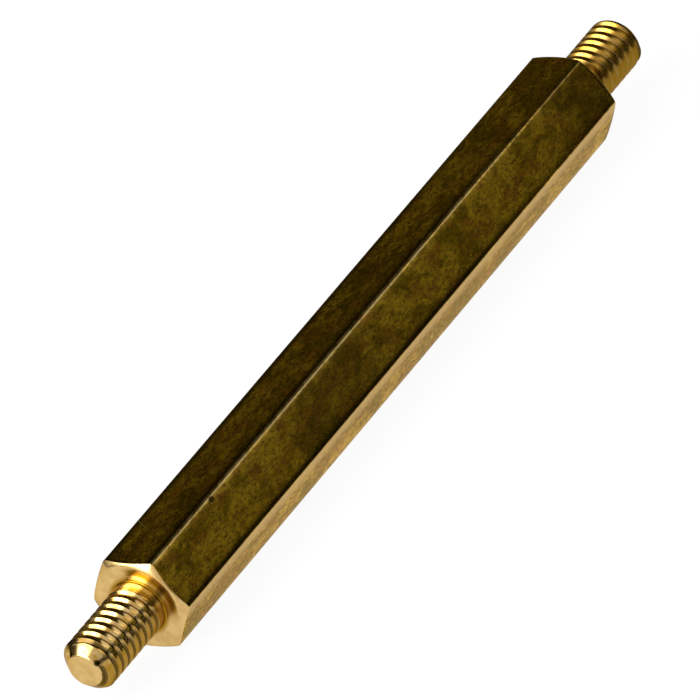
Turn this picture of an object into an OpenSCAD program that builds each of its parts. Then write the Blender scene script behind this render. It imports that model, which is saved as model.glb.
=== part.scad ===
// Hex standoff turned from one length of brass hexagon bar.
// It lies on one of its flats with its axis along X, centred over the origin,
// and the surface that it lies on is at Z = 0.

/* [Hexagon body] */
// Width of the bar across two opposite flats
hex_af = 7; // [6:0.5:12]
// Length of the body between its two shoulders
body_len = 62.5; // [15:0.5:150]
// Radius left by drawing on the bar's six long corners
corner_r = 0.35; // [0.1:0.05:0.6]
// How far inside the flats the edge of each turned shoulder lies
shoulder_inset = 0.25; // [0.05:0.05:0.5]
// Angle of the turned end chamfers, measured from the shoulder's plane
chamfer_angle = 25; // [15:5:45]

/* [Studs] */
// Outside diameter of both studs, over the thread crests
stud_d = 4.16; // [3:0.02:5]
// Length of each stud from its shoulder to its tip
stud_len = 7.6; // [4:0.1:16]
// Width and height of the 45 degree chamfer at each tip
tip_chamfer = 0.85; // [0.2:0.05:1.2]
// Radius of the tool's nose where a stud meets its shoulder
root_fillet = 0.1; // [0.05:0.05:0.4]

/* [Hidden] */

stud_r = stud_d / 2;
tip_r = stud_r - tip_chamfer;
shoulder_r = hex_af / 2 - shoulder_inset;

// Places along the axis, from the middle of the body
shoulder_x = body_len / 2;
tip_x = shoulder_x + stud_len;

// Centres of the corner arcs, and the sharp corners that they replace
arc_centre_r = (hex_af / 2 - corner_r) / cos(30);
sharp_corner_r = hex_af / 2 / cos(30);

// The turning tool passes outside the corners before it cuts in
clear_r = sharp_corner_r + 1;
arc_steps = 8;
fillet_steps = 6;
round_fn = 96;

function polar(r, a) = [r * cos(a), r * sin(a)];

// Outline of the drawn bar: an arc at each corner, tangent to the flats beside it
function bar_outline() = [
    for (k = [0:5], i = [0:arc_steps])
        polar(arc_centre_r, 60 * k) + polar(corner_r, 60 * (k + i / arc_steps) - 30)
];

// Half of the lathe profile as [radius, place], from the tip in to the chamfer
function turned_end() = concat(
    [[0, tip_x], [tip_r, tip_x], [stud_r, tip_x - tip_chamfer]],
    [
        for (i = [0:fillet_steps])
            [stud_r + root_fillet, shoulder_x + root_fillet]
                + polar(root_fillet, 180 + 90 * i / fillet_steps)
    ],
    [
        [shoulder_r, shoulder_x],
        [clear_r, shoulder_x - (clear_r - shoulder_r) * tan(chamfer_angle)]
    ]
);

function other_end(points) = [
    for (i = [len(points) - 1:-1:0]) [points[i][0], -points[i][1]]
];

// Length of drawn bar, a little longer than the finished part
module hexagon_bar() {
    translate([0, 0, -tip_x - 1])
        linear_extrude(height = 2 * tip_x + 2)
            polygon(bar_outline());
}

// What the lathe leaves: two studs, two shoulders and the chamfered ends
module turned_form() {
    end = turned_end();
    rotate_extrude($fn = round_fn)
        polygon(concat(end, other_end(end)));
}

module standoff() {
    color("darkgoldenrod")
        translate([0, 0, hex_af / 2])
            rotate([0, 90, 0])
                rotate([0, 0, 30])
                    intersection() {
                        hexagon_bar();
                        turned_form();
                    }
}

standoff();
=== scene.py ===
import math

import bpy
from mathutils import Matrix, Vector


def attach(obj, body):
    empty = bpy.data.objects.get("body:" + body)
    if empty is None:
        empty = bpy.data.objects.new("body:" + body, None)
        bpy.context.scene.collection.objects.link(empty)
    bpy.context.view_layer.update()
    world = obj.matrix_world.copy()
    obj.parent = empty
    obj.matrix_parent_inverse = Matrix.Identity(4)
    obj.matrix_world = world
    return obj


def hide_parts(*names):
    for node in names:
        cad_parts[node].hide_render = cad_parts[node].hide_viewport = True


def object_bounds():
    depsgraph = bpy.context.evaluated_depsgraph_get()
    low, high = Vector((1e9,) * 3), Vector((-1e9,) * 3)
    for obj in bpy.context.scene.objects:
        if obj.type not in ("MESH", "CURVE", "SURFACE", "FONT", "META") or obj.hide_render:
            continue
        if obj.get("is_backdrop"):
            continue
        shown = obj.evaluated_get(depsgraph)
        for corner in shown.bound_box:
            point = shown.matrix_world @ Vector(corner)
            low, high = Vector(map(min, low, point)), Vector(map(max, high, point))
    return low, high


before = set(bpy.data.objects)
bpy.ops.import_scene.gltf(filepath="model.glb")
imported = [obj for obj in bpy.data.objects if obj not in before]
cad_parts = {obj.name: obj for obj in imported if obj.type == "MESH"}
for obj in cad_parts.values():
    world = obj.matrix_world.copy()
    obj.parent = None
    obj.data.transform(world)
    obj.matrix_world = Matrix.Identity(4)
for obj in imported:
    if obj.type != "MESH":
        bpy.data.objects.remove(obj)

bl_info = {
    "name": "Brass hex standoff",
    "version": (1, 0, 0),
    "blender": (4, 5, 0),
    "location": "3D View > Sidebar > Standoff",
    "description": "Makes a brass hex standoff with two threaded studs, and its stage",
    "category": "Mesh",
}

MM = 0.001

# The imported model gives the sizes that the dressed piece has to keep
CAD_LOW, CAD_HIGH = (Vector(corner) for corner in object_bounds())
FLAT_TO_FLAT = round(CAD_HIGH.z - CAD_LOW.z, 6)
TIP_TO_TIP = round(CAD_HIGH.x - CAD_LOW.x, 6)
BODY_LENGTH = 62.5 * MM

# Lengths in metres and angles in radians that differ by less than this count as equal
SAME_WITHIN = 1e-9

# Small marks in the surface, in millimetres: middle, turn about Z in degrees, half
# sizes, colour and strength
MARKS = (
    ("Pit beside the ridge", (-22.9, -2.16, 6.755), 0, (0.30, 0.22, 0.22), "dark", 1.0),
    ("Scratch on the top", (-26.61, 1.34, 7.0), 55, (1.0, 0.045, 0.3), "light", 1.0),
    ("Left speck on tip", (-38.7, 0.8, 4.66), 0, (0.22, 0.17, 0.17), "dark", 0.9),
    ("Right speck on tip", (-38.72, -1.2, 4.16), 0, (0.26, 0.22, 0.24), "dark", 0.95),
)
# A mark fades in between these shares of its half sizes
MARK_EDGE = (1.15, 0.7)

# Painted light beside the long corners, which count from +Y towards +Z: painted shade beside the
# corners, a painted highlight on the rubbed ridge, and a painted highlight on the upper edge of the
# lower flats. For each, its kind, and where it begins, is full, is still full and ends, in
# millimetres round from the corner's middle
CORNER_PAINTED_LIGHT = {
    0: (("grime_and_shade", -0.04, 0.04, 0.20, 0.52), ("edge_highlight", -1.6, -0.2, -0.08, 0.03)),
    1: (("grime_and_shade", -0.3, -0.1, 0.20, 0.75),),
    # Corner 2 is the ridge: dark painted shade on its left, and the rubbed corner lightened as a
    # painted highlight
    2: (("grime_and_shade", -0.70, -0.34, -0.22, -0.12), ("rubbed_highlight", -0.21, -0.10, 0.06, 0.24)),
    3: (("grime_and_shade", -0.52, -0.20, -0.04, 0.04), ("edge_highlight", -0.03, 0.08, 0.2, 1.6)),
}
# The painted shade and the rubbed highlight fade between these places right of the middle, in
# shares of the body's length
PAINTED_LIGHT_FADES_BETWEEN = (0.15, 0.42)
SHADE_LOST, RUBBED_HIGHLIGHT_LOST = 0.85, 0.75

# Broad dark patches of tarnish: middle and half length in millimetres, and strength
MIDDLE_FLAT_PATCHES = ((-8.0, 9.0, 0.45), (29.5, 6.0, 0.50))
TOP_FLAT_PATCHES = ((3.0, 8.0, 0.25),)

# Painted reflection of the stud on a shoulder, in a darker orange brown: angles from +Y towards +Z,
# in degrees, where it begins, is full, is still full and ends; rings out from the stud, and in from
# the edge
REFLECTION_ANGLES = (78, 94, 180, 198)
FAINT_REFLECTION = 0.1
REFLECTION_FROM_STUD = (0.42 * MM, 0.62 * MM)
REFLECTION_FROM_EDGE = (0.27 * MM, 0.12 * MM)

# Painted shade low on a stud, darker below the axis: heights above the axis, in shares of its
# radius, where it begins and is full, and its strength
LOW_BROWN_SHADE = (0.40, 0.05, 1.0)
LOW_DARK_SHADE_LEFT = (0.45, 0.20, 0.95)
LOW_DARK_SHADE_RIGHT = (0.80, 0.40, 0.40)
# The right stud is oily all round, with a little painted shade added below
RIGHT_OIL, RIGHT_SHADE_BELOW = 0.95, 0.25
# Oil and painted shade show less in the groove, and the left stud's dark painted shade is only
# there
OIL_AND_SHADE_ON_CREST, OIL_AND_SHADE_LOST_IN_GROOVE = 0.8, 0.3
SHADED_FROM_DEPTH = 0.35
# Dark ring at the thread's outer end: begins, is full, is still full and ends, in
# millimetres in from the tip's chamfer
END_DARK_RING = (-0.08, 0.0, 0.14, 0.26)
# The painted highlight on the neck fades over this length of the thread
NECK_FADE = 0.45 * MM

# Roughness of a finish, below and above its middle value
DRAWN_SPREAD = (-0.06, 0.08)
TURNED_SPREAD = (-0.04, 0.06)
THREADED_SPREAD = (-0.12, -0.04)

# Where the lights stand: azimuth and elevation in degrees, and distance in metres
WINDOW_PLACE = (155, 36, 0.75)
CARD_PLACE = (319.0, 36.2, 0.283)

# Hung cloths: azimuths and elevations in degrees, distance in metres, and colour
HUNG_CLOTHS = (
    ("cloth_back", (20, 80), (0.5, 34), 1.0, "back_cloth"),
    ("cloth_back_top", (20, 100), (34, 62), 1.0, "black_cloth"),
    ("cloth_back_right", (347, 380), (0.5, 62), 1.0, "black_cloth"),
    ("cloth_left", (80, 120), (0.5, 19), 1.0, "black_cloth"),
    ("cloth_front", (218, 285), (9, 27), 1.0, "black_cloth"),
    ("cloth_front_gold", (222, 312), (27, 55), 1.0, "gold_cloth"),
    ("cloth_front_top", (218, 312), (55, 62), 1.0, "black_cloth"),
    ("cloth_right", (285, 347), (9, 26), 1.0, "brown_cloth"),
    ("cloth_right_top", (312, 347), (26, 62), 1.0, "black_cloth"),
    ("cloth_low", (206, 347), (0.5, 9), 1.0, "black_cloth"),
    ("cloth_ceiling", (0, 360), (61, 90), 1.0, "black_cloth"),
    ("cloth_sill", (138, 155), (0.5, 19), 0.6, "black_cloth"),
    ("cloth_sill_left", (108, 138), (0.5, 29), 0.6, "black_cloth"),
)

# Black cloths that lie on the floor: from and to along X, and along Y, in metres
LYING_CLOTHS = (
    ("cloth_beside", (-0.04, 0.5), (-0.4, -0.0105)),
    ("cloth_behind", (-0.027, 0.5), (0.015, 0.4)),
    ("cloth_far", (-0.5, -0.085), (-0.4, -0.03)),
)
LYING_CLOTH_HEIGHT = 0.3 * MM

# Distance between two nodes in the shader editor
NODE_STEP = 190
# Nearly all of a noise lies between these values
NOISE_SPAN = (0.3, 0.7)


# Settings that a user can change


def length_setting(name, description, default, low, high):
    """A length, which is given here in millimetres."""
    return bpy.props.FloatProperty(
        name=name,
        description=description,
        default=default * MM,
        min=low * MM,
        max=high * MM,
        precision=6,
        unit="LENGTH",
    )


def angle_setting(name, description, degrees, low, high):
    """An angle, which is given here in degrees."""
    return bpy.props.FloatProperty(
        name=name,
        description=description,
        default=math.radians(degrees),
        min=math.radians(low),
        max=math.radians(high),
        subtype="ANGLE",
    )


def share_setting(name, description, default):
    """A share from 0 to 1."""
    return bpy.props.FloatProperty(
        name=name, description=description, default=default, min=0.0, max=1.0, subtype="FACTOR"
    )


def light_setting(name, description, default):
    """A brightness, where 1 shows as white."""
    return bpy.props.FloatProperty(
        name=name, description=description, default=default, min=0.0, max=20.0
    )


def colour_setting(name, description, default):
    """A colour in linear values."""
    return bpy.props.FloatVectorProperty(
        name=name,
        description=description,
        default=default,
        min=0.0,
        max=1.0,
        size=3,
        subtype="COLOR",
    )


def place_setting(name, description, default):
    """A point in metres."""
    return bpy.props.FloatVectorProperty(
        name=name,
        description=description,
        default=default,
        size=3,
        precision=6,
        subtype="TRANSLATION",
        unit="LENGTH",
    )


class StandoffSizes(bpy.types.PropertyGroup):
    """Sizes of the standoff, in metres"""

    across_flats: length_setting(
        "Across flats", "Width of the hexagon bar over two opposite flats", FLAT_TO_FLAT / MM, 3, 30
    )
    body_length: length_setting(
        "Body length", "Length of the hexagon body between its shoulders", BODY_LENGTH / MM, 5, 200
    )
    corner_radius: length_setting(
        "Corner radius", "Radius that drawing leaves on the six long corners", 0.35, 0.05, 1
    )
    flat_crown: length_setting(
        "Crown of the flats", "How far a drawn flat falls away towards its long edges",
        0.025, 0, 0.1,
    )
    shoulder_inset: length_setting(
        "Shoulder inset", "How far the edge of the turned shoulder lies inside the flats",
        0.25, 0.02, 1,
    )
    chamfer_angle: angle_setting(
        "End chamfer angle", "Angle of the turned end chamfers, from the plane of the shoulder",
        25, 5, 60,
    )
    edge_break: length_setting(
        "Edge break", "Width of the small round left on every turned edge", 0.035, 0.005, 0.1
    )
    stud_diameter: length_setting(
        "Stud diameter", "Diameter of both studs over the thread crests", 4.16, 1, 12
    )
    stud_length: length_setting(
        "Stud length", "Length of a stud from its shoulder to its tip",
        (TIP_TO_TIP - BODY_LENGTH) / 2 / MM, 2, 30,
    )
    tip_chamfer: length_setting(
        "Tip chamfer", "Width and height of the 45 degree chamfer at each tip", 0.85, 0.1, 2
    )
    tip_round: length_setting(
        "Tip round", "Radius of the edge between a tip and its chamfer", 0.35, 0.01, 1
    )
    root_fillet: length_setting(
        "Root fillet", "Radius where a stud meets its shoulder", 0.1, 0.02, 0.5
    )
    thread_pitch: length_setting(
        "Thread pitch", "Distance from one thread crest to the next", 0.79375, 0.2, 2
    )
    thread_depth: length_setting("Thread depth", "Depth of the thread's groove", 0.24, 0.05, 1)
    crest_width: length_setting(
        "Crest width", "Width of the crest that is left between two turns of the groove",
        0.36, 0.02, 1,
    )
    flank_angle: angle_setting(
        "Flank angle", "Lean of each thread flank from the plane square to the axis", 40, 5, 70
    )
    plain_neck: length_setting(
        "Plain neck", "Length beside the shoulder that the die leaves without thread", 0.50, 0.1, 3
    )
    thread_runout: length_setting(
        "Thread run-out", "Length over which the thread deepens from nothing to full depth",
        0.7, 0.05, 3,
    )
    left_thread_start: length_setting(
        "Left thread start",
        "How far from its shoulder a crest of the left stud crosses the +Y side",
        0.275, 0, 2,
    )
    right_thread_start: length_setting(
        "Right thread start",
        "How far from its shoulder a crest of the right stud crosses the +Y side",
        0.15, 0, 2,
    )


class BrassFinish(bpy.types.PropertyGroup):
    """Colours of the brass, as it is cut, as it is drawn and as it tarnishes"""

    fresh_cut: colour_setting(
        "Fresh cut brass", "Brass as the lathe tool leaves it", (0.72, 0.49, 0.19)
    )
    thread_gold: colour_setting(
        "Thread gold", "Cut threads, deeper in colour than the faces", (0.68, 0.48, 0.21)
    )
    thread_shade: colour_setting(
        "Thread shade", "Cut threads where oil has darkened them", (0.50, 0.29, 0.06)
    )
    turned_shade: colour_setting(
        "Handled brass", "Turned brass where fingers have dulled it", (0.60, 0.39, 0.14)
    )
    drawn_skin: colour_setting("Drawn skin", "Skin of the drawn bar", (0.66, 0.42, 0.06))
    olive_tarnish: colour_setting(
        "Olive tarnish", "Older tarnish in the drawn skin", (0.29, 0.185, 0.018)
    )
    red_tarnish: colour_setting(
        "Red tarnish", "Reddish spots in the drawn skin", (0.44, 0.20, 0.045)
    )
    oil_and_painted_shading: colour_setting(
        "Old oil and painted shading", "Old oil on the right stud, with painted shade low on the studs and in the fillets, and a painted reflection of the stud on the shoulders", (0.34, 0.18, 0.012)
    )
    scratch: colour_setting("Scratch", "Bare metal in a fine scratch", (0.55, 0.45, 0.26))
    neck_highlight: colour_setting(
        "Painted neck highlight", "Painted highlight on the plain neck of a stud",
        (0.92, 0.80, 0.50),
    )
    root_shade: colour_setting(
        "Root shade", "Painted shade in the roots of the threads", (0.08, 0.035, 0.01)
    )
    dark_tarnish_and_shade: colour_setting(
        "Dark tarnish and shade", "Dark tarnish in the mottle and marks, and painted shade beside the long corners and low on the studs", (0.05, 0.03, 0.008)
    )
    rubbed_ridge_highlight: colour_setting(
        "Rubbed ridge highlight", "Upper long corner, where the dark skin is rubbed thin, lightened as a painted highlight", (0.50, 0.38, 0.17)
    )
    painted_edge_highlight: colour_setting(
        "Painted edge highlight", "Painted highlight on the upper edge of the lower flats", (0.60, 0.43, 0.21)
    )
    edge_tint: colour_setting(
        "Edge tint", "The metal where it is seen at a low angle", (0.80, 0.66, 0.46)
    )
    drawn_roughness: share_setting("Drawn roughness", "Roughness of the drawn flats", 0.22)
    turned_roughness: share_setting("Turned roughness", "Roughness of the turned surfaces", 0.24)


class PhotoStage(bpy.types.PropertyGroup):
    """Camera, floor and light that the piece is pictured with"""

    camera_place: place_setting(
        "Camera place", "Where the camera stands", (-0.64008, -0.534966, 0.487097)
    )
    camera_aim: place_setting(
        "Camera aim", "Point that the camera looks at", (-0.0005704, 0.0004927, 0.0035)
    )
    camera_roll: angle_setting(
        "Camera roll", "How far the top of the camera leans to the right", 18.778, -180, 180
    )
    camera_lens: bpy.props.FloatProperty(
        name="Camera lens",
        description="Focal length in millimetres, on a 36 mm sensor",
        default=708.31,
        min=20.0,
        max=2000.0,
        precision=2,
        unit="CAMERA",
    )
    floor_size: length_setting("Floor size", "Side of the square floor", 4000, 500, 10000)
    floor_colour: colour_setting(
        "Floor colour", "Colour of the floor where it takes the shadow", (0.92, 0.92, 0.92)
    )
    floor_glow: share_setting(
        "Floor glow", "Share of the floor that shows as plain white, and the rest takes the shadow",
        0.94,
    )
    room_level: light_setting("Room level", "Even light that the room gives to dull surfaces", 0.8)
    window_level: light_setting(
        "Window level", "Brightness of the diffusing screen before the window", 6.5
    )
    window_width: length_setting("Window width", "Width of the diffusing screen", 600, 50, 3000)
    window_height: length_setting("Window height", "Height of the diffusing screen", 820, 50, 3000)
    card_size: length_setting("Card size", "Side of the square white card", 130, 20, 3000)
    card_level: light_setting("Card level", "Brightness of the white card", 1.0)
    black_cloth: colour_setting(
        "Black cloth", "Colour of the black cloths round the stage", (0.03, 0.025, 0.01)
    )
    brown_cloth: colour_setting(
        "Brown cloth", "Colour of the brown cloth on the right", (0.175, 0.17, 0.04)
    )
    gold_cloth: colour_setting(
        "Gold cloth", "Colour of the bright warm cloth in front", (1.0, 0.84, 0.38)
    )
    back_cloth: colour_setting(
        "Back cloth", "Colour of the dark brown cloth behind the piece", (0.125, 0.115, 0.035)
    )


# Mesh of the standoff


class Skin:
    """Collects the points and faces of one closed skin."""

    def __init__(self):
        self.points = []
        self.faces = []
        self.finishes = []
        self.depths = []
        self.wear_and_painted_light = []

    def point(self, along, out, turn, middle, depth=0.0, wear_and_painted_light=(0.0, 0.0, 0.0)):
        """Adds a point at a distance out from the axis, turned from +Y towards +Z."""
        self.points.append((along, out * math.cos(turn), middle + out * math.sin(turn)))
        self.depths.append(depth)
        self.wear_and_painted_light.append(wear_and_painted_light)
        return len(self.points) - 1

    def face(self, corners, finish):
        """Adds a face, leaving out corners that coincide."""
        kept = [corner for i, corner in enumerate(corners) if corner != corners[i - 1]]
        if len(kept) >= 3 and len(set(kept)) == len(kept):
            self.faces.append(kept)
            self.finishes.append(finish)

    def band(self, first, second, finish):
        """Joins two rings with as many points each."""
        count = len(first)
        for i in range(count):
            j = (i + 1) % count
            self.face((first[i], first[j], second[j], second[i]), finish)

    def bands(self, rings, finish):
        """Joins each ring to the next one."""
        for first, second in zip(rings, rings[1:]):
            self.band(first, second, finish)

    def zipper(self, first, first_turns, second, second_turns, finish):
        """Joins two rings with different numbers of points by triangles."""
        i = j = 0
        while i < len(first) or j < len(second):
            turn_i = first_turns[i + 1] if i + 1 < len(first) else math.tau
            turn_j = second_turns[j + 1] if j + 1 < len(second) else math.tau
            step_first = j >= len(second) or (i < len(first) and turn_i <= turn_j)
            near, far = first[i % len(first)], second[j % len(second)]
            if step_first:
                i += 1
                self.face((near, first[i % len(first)], far), finish)
            else:
                j += 1
                self.face((near, second[j % len(second)], far), finish)


DRAWN, TURNED, THREADED = range(3)

# A high power keeps a flat nearly plane and drops it close to its edges
CROWN_POWER = 6

# Rounds at the thread's crest and root, in shares of its depth
CREST_ROUND, ROOT_ROUND = 0.06, 0.2


def bar_turns(sizes, arc_steps=10, flat_steps=24):
    """Angles of the columns round the drawn bar, close together at its corners."""
    flat_half = flat_half_turn(sizes)
    turns = []
    for corner in range(6):
        middle = corner * math.pi / 3
        corner_half = math.pi / 6 - flat_half
        for i in range(arc_steps):
            turns.append(middle + corner_half * (2 * i / arc_steps - 1))
        for i in range(flat_steps):
            spot = math.sin(math.pi * (i / flat_steps - 0.5))
            turns.append(middle + corner_half + flat_half * (1 + spot))
    return turns


def flat_half_turn(sizes):
    """Half of the angle that one flat takes up, seen from the axis."""
    half = sizes.across_flats / 2 - sizes.flat_crown
    return math.atan((half - sizes.corner_radius) * math.tan(math.pi / 6) / half)


def bar_radius(sizes, turn):
    """Distance from the axis to the skin of the drawn bar."""
    half = sizes.across_flats / 2 - sizes.flat_crown
    from_flat = (turn % (math.pi / 3)) - math.pi / 6
    flat_half = flat_half_turn(sizes)
    if abs(from_flat) <= flat_half + SAME_WITHIN:
        share = math.tan(abs(from_flat)) / math.tan(flat_half)
        crown = sizes.flat_crown * (1 - share**CROWN_POWER)
        return (half + crown) / math.cos(from_flat)
    centre = (half - sizes.corner_radius) / math.cos(math.pi / 6)
    from_corner = math.pi / 6 - abs(from_flat)
    return centre * math.cos(from_corner) + math.sqrt(
        sizes.corner_radius**2 - (centre * math.sin(from_corner)) ** 2
    )


def smooth_step(low, high, value):
    """Goes smoothly from 0 at low to 1 at high, where low may be the larger one."""
    share = min(max((value - low) / (high - low), 0.0), 1.0)
    return share * share * (3 - 2 * share)


def between(value, begins, full, still_full, ends):
    """Grows from 0 to 1, stays there and falls back to 0."""
    return smooth_step(begins, full, value) * smooth_step(ends, still_full, value)


def patches_at(along, patches):
    """Strength of a flat's tarnish patches at a place along it."""
    return max(
        strength * smooth_step(1.0, 0.2, abs(along / MM - middle) / reach)
        for middle, reach, strength in patches
    )


def tarnish_and_painted_light_at(sizes, along, turn):
    """Painted shade with the tarnish patches, rubbed ridge highlight and painted edge highlight of
    the drawn skin at a place, each from 0 to 1.
    """
    corner = round(turn / (math.pi / 3)) % 6
    from_corner = (turn + math.pi / 6) % (math.pi / 3) - math.pi / 6
    spot = from_corner * sizes.across_flats / 2 / math.cos(math.pi / 6) / MM
    wear_and_painted_light = {"grime_and_shade": 0.0, "rubbed_highlight": 0.0, "edge_highlight": 0.0}
    for kind, *limits in CORNER_PAINTED_LIGHT.get(corner, ()):
        wear_and_painted_light[kind] = between(spot, *limits)
    begins, ends = (share * sizes.body_length for share in PAINTED_LIGHT_FADES_BETWEEN)
    faded = smooth_step(begins, ends, along)
    wear_and_painted_light["grime_and_shade"] *= 1.0 - SHADE_LOST * faded
    wear_and_painted_light["rubbed_highlight"] *= 1.0 - RUBBED_HIGHLIGHT_LOST * faded
    if math.pi / 3 < turn < 2 * math.pi / 3:
        wear_and_painted_light["grime_and_shade"] = max(wear_and_painted_light["grime_and_shade"], patches_at(along, TOP_FLAT_PATCHES))
    elif 2 * math.pi / 3 < turn < math.pi:
        wear_and_painted_light["grime_and_shade"] = max(wear_and_painted_light["grime_and_shade"], patches_at(along, MIDDLE_FLAT_PATCHES))
    return wear_and_painted_light["grime_and_shade"], wear_and_painted_light["rubbed_highlight"], wear_and_painted_light["edge_highlight"]


def stud_reflection_at(turn):
    """Painted reflection of the stud on a shoulder, darker orange brown round the upper right of
    the stud.
    """
    return between(math.degrees(turn), *REFLECTION_ANGLES)


def low_shade_on_stud(turn, begins, full, strength):
    """Painted shade that darkens a stud below its axis."""
    return strength * smooth_step(begins, full, math.sin(turn))


def oil_and_low_shade_at(side, turn):
    """Old oil all round the right stud, and painted shade below the axis of both studs."""
    below = low_shade_on_stud(turn, *LOW_BROWN_SHADE)
    return below if side < 0 else RIGHT_OIL + RIGHT_SHADE_BELOW * below


def dark_low_shade_at(side, turn, sunk):
    """Painted dark shade: low on the right stud, and low in the left one's groove."""
    if side > 0:
        return low_shade_on_stud(turn, *LOW_DARK_SHADE_RIGHT)
    return low_shade_on_stud(turn, *LOW_DARK_SHADE_LEFT) * smooth_step(0.0, SHADED_FROM_DEPTH, sunk)


def thread_profile(sizes):
    """One pitch of the thread, from crest to crest, as (share of the pitch, depth)."""
    pitch, depth = sizes.thread_pitch, sizes.thread_depth
    steepest = math.pi / 2 - sizes.flank_angle
    reach = math.tan(steepest / 2)
    crest_half = sizes.crest_width / 2
    root_edge = crest_half + depth * math.tan(sizes.flank_angle)
    if root_edge >= pitch / 2:
        raise ValueError("the thread is too deep for its pitch")
    edge_round = CREST_ROUND * depth
    root_round = min(ROOT_ROUND * depth, (pitch / 2 - root_edge) / reach)
    steps = 3
    crest, root = [], []
    for i in range(steps + 1):
        lean = steepest * i / steps
        ahead, fall = reach - math.sin(lean), 1 - math.cos(lean)
        crest.append((crest_half - edge_round * ahead, edge_round * fall))
        root.append((root_edge + root_round * ahead, depth - root_round * fall))
    (near, high), (far, low) = crest[-1], root[-1]
    flank = [(near + (far - near) * share, high + (low - high) * share) for share in (0.33, 0.67)]
    half = [(0.0, 0.0)] + crest + flank + root[::-1]
    # The root's first point is left out where it reaches the middle of the groove
    short_of_middle = pitch / 2 - SAME_WITHIN
    half = [(along / pitch, cut) for along, cut in half if along < short_of_middle]
    other = [(1 - along, cut) for along, cut in reversed(half[1:])]
    return half + [(0.5, depth)] + other


def end_dark_ring(sizes, out_from_shoulder):
    """Dark ring where the last turn of the thread meets the tip's chamfer."""
    before = (sizes.stud_length - sizes.tip_chamfer - out_from_shoulder) / MM
    return between(before, *END_DARK_RING)


def neck_highlight(sizes, out_from_shoulder):
    """Painted highlight between the shoulder and the first turn of the thread."""
    ends = sizes.plain_neck + NECK_FADE
    return smooth_step(ends, sizes.plain_neck, out_from_shoulder)


def thread_band(skin, sizes, side, first, second, turns, start):
    """Cuts the thread between two plain rings, whose points share the same angles."""
    pitch = sizes.thread_pitch
    radius = sizes.stud_diameter / 2
    tip_radius = radius - sizes.tip_chamfer
    middle = sizes.across_flats / 2
    shoulder = sizes.body_length / 2
    profile = thread_profile(sizes)
    steps = len(profile)
    deepest = max(cut for share, cut in profile)
    fully_cut = sizes.plain_neck + sizes.thread_runout
    low = skin.points[first[0]][0]
    high = skin.points[second[0]][0]
    # Points of the thread that are this near to a plain ring are taken from it
    slack = 0.2 * pitch / steps
    made = {}
    begins = side * (shoulder + start)

    def corner(row, column):
        if column == len(turns):
            row, column = row + steps, 0
        if (row, column) in made:
            return made[row, column]
        share, cut = profile[row % steps]
        along = begins + pitch * (row // steps + share + turns[column] / math.tau)
        if along <= low + slack:
            index = first[column]
        elif along >= high - slack:
            index = second[column]
        else:
            out_from_shoulder = abs(along) - shoulder
            grown = smooth_step(sizes.plain_neck, fully_cut, out_from_shoulder)
            out = min(radius - grown * cut, tip_radius + sizes.stud_length - out_from_shoulder)
            sunk = grown * cut / deepest
            oil_and_shade = oil_and_low_shade_at(side, turns[column])
            darkening = dark_low_shade_at(side, turns[column], sunk)
            # Old oil on the right stud with painted shade below the axis; painted shade low on the
            # studs, with the dark end ring; and the painted highlight on the neck
            wear_and_painted_light = (
                oil_and_shade * (OIL_AND_SHADE_ON_CREST - OIL_AND_SHADE_LOST_IN_GROOVE * sunk),
                max(end_dark_ring(sizes, out_from_shoulder), darkening),
                neck_highlight(sizes, out_from_shoulder),
            )
            index = skin.point(along, out, turns[column], middle, sunk, wear_and_painted_light)
        made[row, column] = index
        return index

    first_row = (math.floor((low - begins) / pitch) - 2) * steps
    last_row = (math.ceil((high - begins) / pitch) + 1) * steps
    for row in range(first_row, last_row):
        for column in range(len(turns)):
            inner = (corner(row, column), corner(row, column + 1))
            outer = (corner(row + 1, column + 1), corner(row + 1, column))
            skin.face(inner + outer, THREADED)


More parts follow.
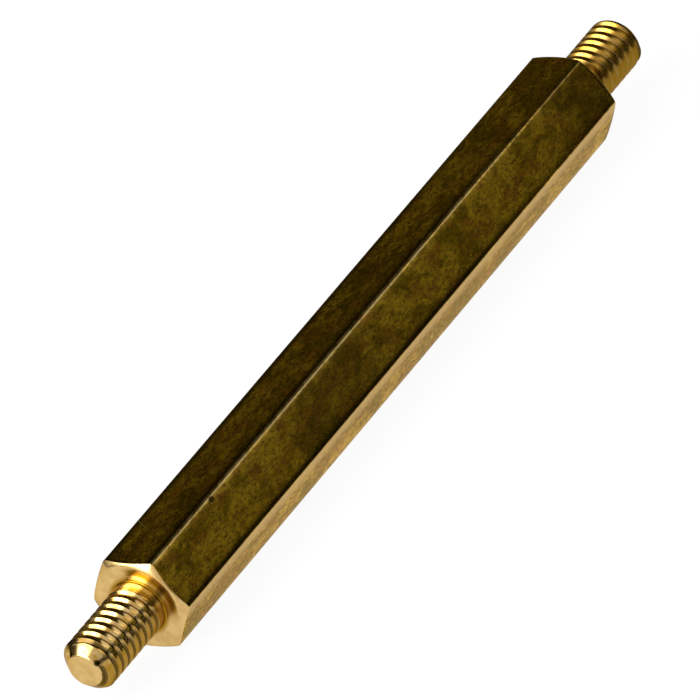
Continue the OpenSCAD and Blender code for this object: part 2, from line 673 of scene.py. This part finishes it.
def standoff_skin(sizes):
    """The whole piece as one closed skin, from its left tip to its right tip."""
    skin = Skin()
    middle = sizes.across_flats / 2
    shoulder = sizes.body_length / 2
    tip = shoulder + sizes.stud_length
    radius = sizes.stud_diameter / 2
    tip_radius = radius - sizes.tip_chamfer
    shoulder_radius = sizes.across_flats / 2 - sizes.shoulder_inset
    edge = sizes.edge_break
    slope = math.tan(sizes.chamfer_angle)
    fillet = sizes.root_fillet
    fillet_steps = 6
    nose_steps = 5
    bar_rows = 40
    stud_columns = 120
    stud_turns = [math.tau * i / stud_columns for i in range(stud_columns)]
    around_bar = bar_turns(sizes)
    # The zipper walks from angle 0, so the bar's columns start there too
    first_column = min(range(len(around_bar)), key=lambda i: abs(around_bar[i]))
    around_bar = around_bar[first_column:] + [
        turn + math.tau for turn in around_bar[:first_column]
    ]

    def round_ring(along, out, painted_shading=lambda turn: 0.0):
        return [
            skin.point(along, out, turn, middle, wear_and_painted_light=(painted_shading(turn), 0.0, 0.0))
            for turn in stud_turns
        ]

    def bar_ring(place, worn=False):
        ring = []
        for turn in around_bar:
            along, out = place(turn)
            wear_and_painted_light = tarnish_and_painted_light_at(sizes, along, turn) if worn else (0.0, 0.0, 0.0)
            ring.append(skin.point(along, out, turn, middle, wear_and_painted_light=wear_and_painted_light))
        return ring

    def chamfer_edge(turn):
        """Where the chamfer meets the skin of the bar, from the middle of the body."""
        return shoulder - (bar_radius(sizes, turn) - shoulder_radius) * slope

    def end_rings(side):
        """Rings of one end, from the tip inwards."""
        rings = {}
        rings["disc"] = [round_ring(side * tip, tip_radius * share) for share in (0.25, 0.6)]
        nose = sizes.tip_round
        flat = tip_radius - nose * math.tan(math.pi / 8)
        for i in range(nose_steps + 1):
            lean = math.pi / 4 * i / nose_steps
            along = side * (tip - nose * (1 - math.cos(lean)))
            rings["disc"].append(round_ring(along, flat + nose * math.sin(lean)))
        rings["tip"] = rings["disc"].pop()
        # The fillet takes the full oil colour all round, as painted shade that dulls its highlight
        # in the crease
        rings["fillet"] = []
        for i in range(fillet_steps + 1):
            lean = math.pi / 2 * i / fillet_steps
            along = side * (shoulder + fillet * (1 - math.sin(lean)))
            out = radius + fillet * (1 - math.cos(lean))
            rings["fillet"].append(round_ring(along, out, lambda turn: 1.0))
        along = side * shoulder
        near_stud, off_stud = (radius + away for away in REFLECTION_FROM_STUD)
        off_edge, near_edge = (shoulder_radius - away for away in REFLECTION_FROM_EDGE)
        rings["face"] = [
            round_ring(along, near_stud, lambda turn: FAINT_REFLECTION * stud_reflection_at(turn)),
            round_ring(along, off_stud, stud_reflection_at),
            round_ring(along, off_edge, stud_reflection_at),
            round_ring(along, near_edge),
        ]
        inward = edge * math.sin(sizes.chamfer_angle)
        outward = edge * math.cos(sizes.chamfer_angle)
        rings["shoulder"] = bar_ring(lambda turn: (side * shoulder, shoulder_radius - edge))
        rings["chamfer"] = [
            bar_ring(lambda turn: (side * (shoulder - inward), shoulder_radius + outward)),
            bar_ring(
                lambda turn: (
                    side * (chamfer_edge(turn) + inward), bar_radius(sizes, turn) - outward
                )
            ),
        ]
        rings["bar"] = bar_ring(
            lambda turn: (side * (chamfer_edge(turn) - edge), bar_radius(sizes, turn)), worn=True
        )
        return rings

    left, right = end_rings(-1), end_rings(1)

    # Left end, from the tip's centre in to the bar
    centre = skin.point(-tip, 0.0, 0.0, middle)
    first = left["disc"][0]
    for i in range(stud_columns):
        skin.face((centre, first[(i + 1) % stud_columns], first[i]), TURNED)
    skin.bands(left["disc"] + [left["tip"]], TURNED)
    start = sizes.left_thread_start
    thread_band(skin, sizes, -1, left["tip"], left["fillet"][0], stud_turns, start)
    inward = left["fillet"] + left["face"]
    skin.bands(inward, TURNED)
    skin.zipper(inward[-1], stud_turns, left["shoulder"], around_bar, TURNED)
    skin.bands([left["shoulder"]] + left["chamfer"] + [left["bar"]], TURNED)

    # The drawn bar, in rows from just inside one shoulder to just inside the other
    reach = shoulder - 0.5 * MM
    previous = left["bar"]
    for i in range(bar_rows + 1):
        along = reach * (2 * i / bar_rows - 1)
        ring = bar_ring(lambda turn: (along, bar_radius(sizes, turn)), worn=True)
        skin.band(previous, ring, DRAWN)
        previous = ring
    skin.band(previous, right["bar"], DRAWN)

    # Right end, from the bar out to the tip's centre
    skin.bands([right["bar"]] + right["chamfer"][::-1] + [right["shoulder"]], TURNED)
    outward = (right["fillet"] + right["face"])[::-1]
    skin.zipper(right["shoulder"], around_bar, outward[0], stud_turns, TURNED)
    skin.bands(outward, TURNED)
    start = sizes.right_thread_start
    thread_band(skin, sizes, 1, outward[-1], right["tip"], stud_turns, start)
    skin.bands([right["tip"]] + right["disc"][::-1], TURNED)
    centre = skin.point(tip, 0.0, 0.0, middle)
    last = right["disc"][0]
    for i in range(stud_columns):
        skin.face((centre, last[i], last[(i + 1) % stud_columns]), TURNED)
    return skin


# Finishes of the brass


class Shader:
    """Node tree of a material or world, with short calls for its nodes and links."""

    def __init__(self, owner):
        self.owner = owner
        owner.use_nodes = True
        self.nodes, self.links = owner.node_tree.nodes, owner.node_tree.links
        self.nodes.clear()

    def node(self, kind, label, **settings):
        made = self.nodes.new(kind)
        made.label = label
        made.location = (NODE_STEP * len(self.nodes), 0)
        for key, value in settings.items():
            setattr(made, key, value)
        return made

    def give(self, source, target):
        """Links a socket to another one, or sets it to a colour or a number."""
        if isinstance(source, bpy.types.NodeSocket):
            self.links.new(source, target)
        elif target.type == "RGBA":
            target.default_value = (*source, 1.0)
        else:
            target.default_value = source

    def noise(self, label, vector, scale, detail=3.0, roughness=0.6, distortion=0.0):
        made = self.node("ShaderNodeTexNoise", label)
        made.inputs["Scale"].default_value = scale
        made.inputs["Detail"].default_value = detail
        made.inputs["Roughness"].default_value = roughness
        made.inputs["Distortion"].default_value = distortion
        self.give(vector, made.inputs["Vector"])
        return made.outputs["Fac"]

    def spread(self, label, value, span, result=(0.0, 1.0)):
        """Turns one span of values smoothly into another one."""
        made = self.node("ShaderNodeMapRange", label, interpolation_type="SMOOTHSTEP")
        names = ("From Min", "From Max", "To Min", "To Max")
        for name, number in zip(names, (*span, *result)):
            made.inputs[name].default_value = number
        self.give(value, made.inputs["Value"])
        return made.outputs["Result"]

    def mix(self, label, share, first, second):
        """Goes from the first colour to the second one."""
        made = self.node("ShaderNodeMix", label, data_type="RGBA")
        self.give(share, made.inputs[0])
        self.give(first, made.inputs[6])
        self.give(second, made.inputs[7])
        return made.outputs[2]

    def math(self, label, operation, first, second):
        made = self.node("ShaderNodeMath", label, operation=operation)
        self.give(first, made.inputs[0])
        self.give(second, made.inputs[1])
        return made.outputs[0]

    def times(self, label, value, factor):
        return self.math(label, "MULTIPLY", value, factor)

    def millimetres(self, stretch=(1.0, 1.0, 1.0)):
        """The piece's own coordinates in millimetres, times stretch along each axis."""
        place = self.node("ShaderNodeTexCoord", "Own place")
        scaled = self.node("ShaderNodeMapping", "In millimetres", vector_type="POINT")
        scaled.inputs["Scale"].default_value = tuple(factor / MM for factor in stretch)
        self.give(place.outputs["Object"], scaled.inputs["Vector"])
        return scaled.outputs["Vector"]

    def carried(self, label, name):
        """What the mesh carries at each point."""
        return self.node("ShaderNodeAttribute", label, attribute_name=name).outputs

    def wear_and_painted_light(self):
        """The three channels of wear and painted light that the mesh carries at each point."""
        kinds = self.node("ShaderNodeSeparateXYZ", "Kinds of wear and painted light")
        self.give(self.carried("Wear and painted light", "wear_and_painted_light")["Vector"], kinds.inputs[0])
        return kinds.outputs

    def handled(self, place, scale, clean, shade):
        """Cut brass with clouds where it has been handled."""
        clouds = self.noise("Handling", place, scale)
        where = self.spread("Where handled", clouds, (0.35, 0.65))
        return self.mix("Handled colour", where, clean, shade)

    def marked(self, colour, finish):
        """Adds the small marks to a colour."""
        place = self.millimetres()
        for name, middle, turn, sizes, kind, strength in MARKS:
            own = self.node("ShaderNodeMapping", name, vector_type="TEXTURE")
            own.inputs["Location"].default_value = middle
            own.inputs["Rotation"].default_value = (0.0, 0.0, math.radians(turn))
            own.inputs["Scale"].default_value = sizes
            self.give(place, own.inputs["Vector"])
            away = self.node("ShaderNodeVectorMath", "Away", operation="LENGTH")
            self.give(own.outputs["Vector"], away.inputs[0])
            away = away.outputs["Value"]
            inside = self.spread("Inside", away, MARK_EDGE, (0.0, strength))
            shade = finish.dark_tarnish_and_shade if kind == "dark" else finish.scratch
            colour = self.mix(name, inside, colour, shade)
        return colour

    def roughness(self, label, pattern, middle, sides):
        """Roughness that a pattern moves to both sides of a middle value."""
        result = (middle + sides[0], middle + sides[1])
        return self.spread(label, pattern, NOISE_SPAN, result)

    def brass(self, colour, edge_tint, roughness, height, relief):
        """Ends the tree in a metal shader, with a relief whose height is in metres."""
        metal = self.node("ShaderNodeBsdfPrincipled", "Brass")
        metal.inputs["Metallic"].default_value = 1.0
        self.give(edge_tint, metal.inputs["Specular Tint"])
        self.give(colour, metal.inputs["Base Color"])
        self.give(roughness, metal.inputs["Roughness"])
        bump = self.node("ShaderNodeBump", "Relief")
        bump.inputs["Strength"].default_value = 1.0
        bump.inputs["Distance"].default_value = relief
        self.give(height, bump.inputs["Height"])
        self.give(bump.outputs["Normal"], metal.inputs["Normal"])
        return self.surface(metal.outputs["BSDF"])

    def surface(self, shading):
        """Ends the tree."""
        kind = "World" if isinstance(self.owner, bpy.types.World) else "Material"
        end = self.node("ShaderNodeOutput" + kind, "Surface")
        self.give(shading, end.inputs["Surface"])
        return self.owner


def drawn_brass(finish):
    """Skin of the drawn bar: die lines along it under blotches of old tarnish, with painted shade
    beside the long corners and painted highlights on the rubbed ridge and on the lower flats' upper
    edges.
    """
    shader = Shader(bpy.data.materials.new("drawn_brass"))
    along = shader.millimetres((0.55, 1.0, 1.0))
    lines = shader.millimetres((0.03, 1.0, 1.0))
    broad = shader.noise("Broad clouds", along, 0.3, 2.0, roughness=0.5, distortion=0.3)
    blotches = shader.noise("Tarnish blotches", along, 1.2, distortion=0.4)
    reds = shader.noise("Red spots", along, 0.9, distortion=0.2)
    grain = shader.noise("Fine mottle", along, 4.5, roughness=0.65)
    nicks = shader.noise("Nicks in the corner", along, 1.7, detail=2.0)
    streaks = shader.noise("Die lines", lines, 9.0, detail=4.0, roughness=0.65)
    clouds = shader.math(
        "Clouds and blotches",
        "ADD",
        shader.times("Clouds", broad, 0.5),
        shader.times("Blotches", blotches, 0.5),
    )
    olive = shader.spread("Where olive", clouds, (0.43, 0.56))
    red = shader.spread("Where red", reds, (0.46, 0.66), (0.0, 0.8))
    mottled = shader.spread("Where mottled", grain, (0.38, 0.64), (0.0, 0.66))
    highlight_share = shader.spread("Between the nicks", nicks, (0.40, 0.56), (0.40, 1.0))
    grime_and_shade, rubbed_highlight, edge_highlight = shader.wear_and_painted_light()
    grime_and_shade = shader.times("Shade and tarnish share", grime_and_shade, 0.88)
    rubbed_highlight = shader.times("Uneven rubbed highlight", rubbed_highlight, highlight_share)
    edge_highlight = shader.times("Edge highlight share", edge_highlight, 0.9)
    colour = finish.drawn_skin
    # The last three mixes are partly painted light: a highlight on the lower flats' upper edges,
    # shade beside the long corners along with the tarnish patches, and a highlight on the rubbed
    # ridge
    for label, share, second in (
        ("Olive in the skin", olive, finish.olive_tarnish),
        ("Red in the skin", red, finish.red_tarnish),
        ("Fine mottle in the skin", mottled, finish.dark_tarnish_and_shade),
        ("Painted highlight on the lower flats' edges", edge_highlight, finish.painted_edge_highlight),
        ("Painted shade beside the corners, and tarnish patches", grime_and_shade, finish.dark_tarnish_and_shade),
        ("Rubbed corners with painted highlight", rubbed_highlight, finish.rubbed_ridge_highlight),
    ):
        colour = shader.mix(label, share, colour, second)
    colour = shader.marked(colour, finish)
    roughness = shader.math(
        "Dulled by rubbing",
        "ADD",
        shader.roughness("Uneven", grain, finish.drawn_roughness, DRAWN_SPREAD),
        shader.times("Rubbed dulling", rubbed_highlight, 0.12),
    )
    height = shader.math("Lines and mottle", "ADD", shader.times("Lines", streaks, 0.5), blotches)
    return shader.brass(colour, finish.edge_tint, roughness, height, 0.006 * MM)


def turned_brass(finish):
    """Shoulders, chamfers and tips: fine rings from the tool's feed, with a painted reflection of
    the stud on the shoulders and painted shade in the fillets.
    """
    shader = Shader(bpy.data.materials.new("turned_brass"))
    place = shader.millimetres()
    split = shader.node("ShaderNodeSeparateXYZ", "Split")
    shader.give(place, split.inputs[0])
    axis = FLAT_TO_FLAT / 2 / MM
    up = shader.math("Above the axis", "SUBTRACT", split.outputs["Z"], axis)
    flat = shader.node("ShaderNodeCombineXYZ", "Round the axis")
    shader.give(split.outputs["Y"], flat.inputs["Y"])
    shader.give(up, flat.inputs["Z"])
    out = shader.node("ShaderNodeVectorMath", "Out from the axis", operation="LENGTH")
    shader.give(flat.outputs[0], out.inputs[0])
    ring_place = shader.node("ShaderNodeCombineXYZ", "Ring place")
    shader.give(out.outputs["Value"], ring_place.inputs["X"])
    shader.give(split.outputs["X"], ring_place.inputs["Y"])
    rings = shader.noise("Tool rings", ring_place.outputs[0], 12.0, detail=2.0)
    colour = shader.handled(place, 1.1, finish.fresh_cut, finish.turned_shade)
    # Painted reflection of the stud on the shoulders, and painted shade in the fillets
    colour = shader.mix("Painted reflection and fillet shade", shader.wear_and_painted_light()[0], colour, finish.oil_and_painted_shading)
    colour = shader.marked(colour, finish)
    roughness = shader.roughness("Cut marks", rings, finish.turned_roughness, TURNED_SPREAD)
    return shader.brass(colour, finish.edge_tint, roughness, rings, 0.002 * MM)


def threaded_brass(finish):
    """Cut threads: bright flanks, with painted shade in their roots and low on the studs, a painted
    highlight on the neck, and old oil on the right stud.
    """
    shader = Shader(bpy.data.materials.new("threaded_brass"))
    place = shader.millimetres()
    depth = shader.carried("Depth in the thread", "thread_depth")["Fac"]
    # Painted shade in the roots of the thread, deeper towards the bottom
    grime_and_shade = shader.spread("Where root shade", depth, (0.62, 0.95), (0.0, 0.9))
    oil_and_shade, darkening, highlight_share = shader.wear_and_painted_light()
    darkening = shader.times("Darkening share", darkening, 0.85)
    colour = shader.handled(place, 1.6, finish.thread_gold, finish.thread_shade)
    for label, share, second in (
        ("Painted shade in the roots", grime_and_shade, finish.root_shade),
        ("Painted neck highlight", highlight_share, finish.neck_highlight),
        ("Old oil and painted shading", oil_and_shade, finish.oil_and_painted_shading),
        ("Painted low shade and end ring", darkening, finish.dark_tarnish_and_shade),
    ):
        colour = shader.mix(label, share, colour, second)
    colour = shader.marked(colour, finish)
    tears = shader.noise("Cut marks", place, 9.0)
    roughness = shader.math(
        "Dulled by oil",
        "ADD",
        shader.roughness("Uneven", tears, finish.turned_roughness, THREADED_SPREAD),
        shader.times("Dulling", oil_and_shade, 0.16),
    )
    return shader.brass(colour, finish.edge_tint, roughness, tears, 0.0015 * MM)


# Operators, with the stage that they set


class STANDOFF_OT_make_piece(bpy.types.Operator):
    """Makes the standoff as one closed brass piece"""

    bl_idname = "standoff.make_piece"
    bl_label = "Make the standoff"
    bl_options = {"REGISTER", "UNDO"}

    def execute(self, context):
        sizes = context.scene.standoff_sizes
        finish = context.scene.standoff_finish
        skin = standoff_skin(sizes)
        mesh = bpy.data.meshes.new("turned_standoff")
        mesh.from_pydata(skin.points, [], skin.faces)
        for made in (drawn_brass(finish), turned_brass(finish), threaded_brass(finish)):
            mesh.materials.append(made)
        mesh.polygons.foreach_set("material_index", skin.finishes)
        mesh.polygons.foreach_set("use_smooth", [True] * len(skin.faces))
        depth = mesh.attributes.new("thread_depth", "FLOAT", "POINT")
        depth.data.foreach_set("value", skin.depths)
        wear_and_painted_light = mesh.attributes.new("wear_and_painted_light", "FLOAT_VECTOR", "POINT")
        wear_and_painted_light.data.foreach_set("vector", [part for kinds in skin.wear_and_painted_light for part in kinds])
        if mesh.validate():
            raise RuntimeError("the standoff's skin has faulty faces")
        mesh.update()
        piece = bpy.data.objects.new("turned_standoff", mesh)
        context.scene.collection.objects.link(piece)
        weighted = piece.modifiers.new("Crisp flats", "WEIGHTED_NORMAL")
        weighted.mode = "FACE_AREA"
        weighted.weight = 60
        weighted.keep_sharp = True
        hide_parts("standoff")
        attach(piece, "root")
        return {"FINISHED"}


def seen_white(shader):
    """1 for the camera, the metal and glass, and 0 for the light on dull things."""
    path = shader.node("ShaderNodeLightPath", "Light path").outputs
    seen = shader.math("Camera or gloss", "MAXIMUM", path["Is Camera Ray"], path["Is Glossy Ray"])
    return shader.math("Or glass", "MAXIMUM", seen, path["Is Transmission Ray"])


def white_floor(stage):
    """Looks white itself, and keeps a small share of the shadow that falls on it."""
    shader = Shader(bpy.data.materials.new("white_floor"))
    paper = shader.node("ShaderNodeBsdfDiffuse", "Paper")
    shader.give(stage.floor_colour, paper.inputs["Color"])
    white = shader.node("ShaderNodeEmission", "White")
    white.inputs["Strength"].default_value = 1.0
    blend = shader.node("ShaderNodeMixShader", "Paper and white")
    share = shader.times("White share", seen_white(shader), stage.floor_glow)
    for i, source in enumerate((share, paper.outputs[0], white.outputs[0])):
        shader.give(source, blend.inputs[i])
    return shader.surface(blend.outputs[0])


def white_room(stage):
    """Looks white itself, and gives its even light to dull things."""
    shader = Shader(bpy.data.worlds.new("white_room"))
    level = shader.node("ShaderNodeMapRange", "Level")
    level.inputs["To Min"].default_value = stage.room_level
    level.inputs["To Max"].default_value = 1.0
    shader.give(seen_white(shader), level.inputs["Value"])
    light = shader.node("ShaderNodeBackground", "Room")
    shader.give(level.outputs["Result"], light.inputs["Strength"])
    return shader.surface(light.outputs[0])


def dull_cloth(name, colour):
    shader = Shader(bpy.data.materials.new(name))
    cloth = shader.node("ShaderNodeBsdfDiffuse", "Cloth")
    shader.give(colour, cloth.inputs["Color"])
    return shader.surface(cloth.outputs[0])


def sky_point(azimuth, elevation, distance):
    """Point that far from the origin, with azimuth from +X towards +Y, in degrees."""
    round_about, upward = math.radians(azimuth), math.radians(elevation)
    level = distance * math.cos(upward)
    return Vector(
        (level * math.cos(round_about), level * math.sin(round_about), distance * math.sin(upward))
    )


def hang_cloth(name, points, faces, material):
    """Adds a cloth that only the metal shows."""
    mesh = bpy.data.meshes.new(name)
    mesh.from_pydata(points, [], faces)
    mesh.materials.append(material)
    cloth = bpy.data.objects.new(name, mesh)
    bpy.context.scene.collection.objects.link(cloth)
    cloth.visible_camera = False
    cloth.visible_diffuse = False
    cloth.visible_shadow = False
    cloth.visible_transmission = False
    cloth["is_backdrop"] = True


def curved_cloth(name, azimuths, elevations, distance, material):
    """A hung cloth that curves round the stage."""
    across, up = 24, 10
    points, faces = [], []
    for j in range(up + 1):
        for i in range(across + 1):
            azimuth = azimuths[0] + (azimuths[1] - azimuths[0]) * i / across
            elevation = elevations[0] + (elevations[1] - elevations[0]) * j / up
            points.append(sky_point(azimuth, elevation, distance))
    for j in range(up):
        for i in range(across):
            corner = j * (across + 1) + i
            above = corner + across + 1
            faces.append((corner, corner + 1, above + 1, above))
    hang_cloth(name, points, faces, material)


def lying_cloth(name, along, across, material):
    """A cloth that lies flat on the floor."""
    corners = ((0, 0), (1, 0), (1, 1), (0, 1))
    points = [(along[i], across[j], LYING_CLOTH_HEIGHT) for i, j in corners]
    hang_cloth(name, points, [(0, 1, 2, 3)], material)


def soft_light(name, width, height, level, place):
    """A rectangle of light that faces the piece, which the camera doesn't see."""
    light = bpy.data.lights.new(name, "AREA")
    light.shape = "RECTANGLE"
    light.size, light.size_y = width, height
    light.energy = level * math.pi * light.size * light.size_y
    board = bpy.data.objects.new(name, light)
    bpy.context.scene.collection.objects.link(board)
    board.location = sky_point(*place)
    board.rotation_euler = (-board.location).to_track_quat("-Z", "Y").to_euler()
    board.visible_camera = False


class STANDOFF_OT_set_stage(bpy.types.Operator):
    """Sets the camera, the floor, the lights and the cloths"""

    bl_idname = "standoff.set_stage"
    bl_label = "Set the stage"
    bl_options = {"REGISTER", "UNDO"}

    def execute(self, context):
        scene = context.scene
        stage = scene.standoff_stage

        # Camera
        lens = bpy.data.cameras.new("photo_camera")
        lens.sensor_width = 36.0
        lens.lens = stage.camera_lens
        lens.clip_start, lens.clip_end = 0.01, 20.0
        camera = bpy.data.objects.new("photo_camera", lens)
        scene.collection.objects.link(camera)
        place, aim = Vector(stage.camera_place), Vector(stage.camera_aim)
        level = (aim - place).to_track_quat("-Z", "Y").to_matrix().to_4x4()
        roll = Matrix.Rotation(-stage.camera_roll, 4, "Z")
        camera.matrix_world = Matrix.Translation(place) @ level @ roll
        scene.camera = camera

        # Floor
        half = stage.floor_size / 2
        mesh = bpy.data.meshes.new("paper_floor")
        mesh.from_pydata(
            [(-half, -half, 0), (half, -half, 0), (half, half, 0), (-half, half, 0)],
            [],
            [(0, 1, 2, 3)],
        )
        mesh.materials.append(white_floor(stage))
        floor = bpy.data.objects.new("paper_floor", mesh)
        scene.collection.objects.link(floor)
        floor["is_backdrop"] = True

        # Diffusing screen before the window
        soft_light(
            "window_screen",
            stage.window_width,
            stage.window_height,
            stage.window_level,
            WINDOW_PLACE,
        )
        # White card behind the right side, for the pale line along the ridge
        size = stage.card_size
        soft_light("white_card", size, size, stage.card_level, CARD_PLACE)

        # Cloths, which only the metal shows
        colours = ("black_cloth", "brown_cloth", "back_cloth", "gold_cloth")
        cloths = {name: dull_cloth(name, getattr(stage, name)) for name in colours}
        for name, azimuths, elevations, distance, colour in HUNG_CLOTHS:
            curved_cloth(name, azimuths, elevations, distance, cloths[colour])
        for name, along, across in LYING_CLOTHS:
            lying_cloth(name, along, across, cloths["black_cloth"])

        scene.world = white_room(stage)
        scene.view_settings.view_transform = "Standard"
        return {"FINISHED"}


class STANDOFF_PT_panel(bpy.types.Panel):
    """Lists the standoff's sizes, finish and stage"""

    bl_label = "Hex standoff"
    bl_idname = "STANDOFF_PT_panel"
    bl_space_type = "VIEW_3D"
    bl_region_type = "UI"
    bl_category = "Standoff"

    def draw(self, context):
        scene = context.scene
        for settings, action in (
            (scene.standoff_sizes, STANDOFF_OT_make_piece.bl_idname),
            (scene.standoff_finish, None),
            (scene.standoff_stage, STANDOFF_OT_set_stage.bl_idname),
        ):
            box = self.layout.box()
            for key in type(settings).__annotations__:
                box.prop(settings, key)
            if action:
                box.operator(action)


CLASSES = (
    StandoffSizes,
    BrassFinish,
    PhotoStage,
    STANDOFF_OT_make_piece,
    STANDOFF_OT_set_stage,
    STANDOFF_PT_panel,
)


def register():
    for cls in CLASSES:
        bpy.utils.register_class(cls)
    scene = bpy.types.Scene
    scene.standoff_sizes = bpy.props.PointerProperty(type=StandoffSizes)
    scene.standoff_finish = bpy.props.PointerProperty(type=BrassFinish)
    scene.standoff_stage = bpy.props.PointerProperty(type=PhotoStage)


def unregister():
    scene = bpy.types.Scene
    del scene.standoff_stage
    del scene.standoff_finish
    del scene.standoff_sizes
    for cls in reversed(CLASSES):
        bpy.utils.unregister_class(cls)


def main():
    register()
    bpy.ops.standoff.make_piece()
    bpy.ops.standoff.set_stage()


if __name__ == "__main__":
    main()
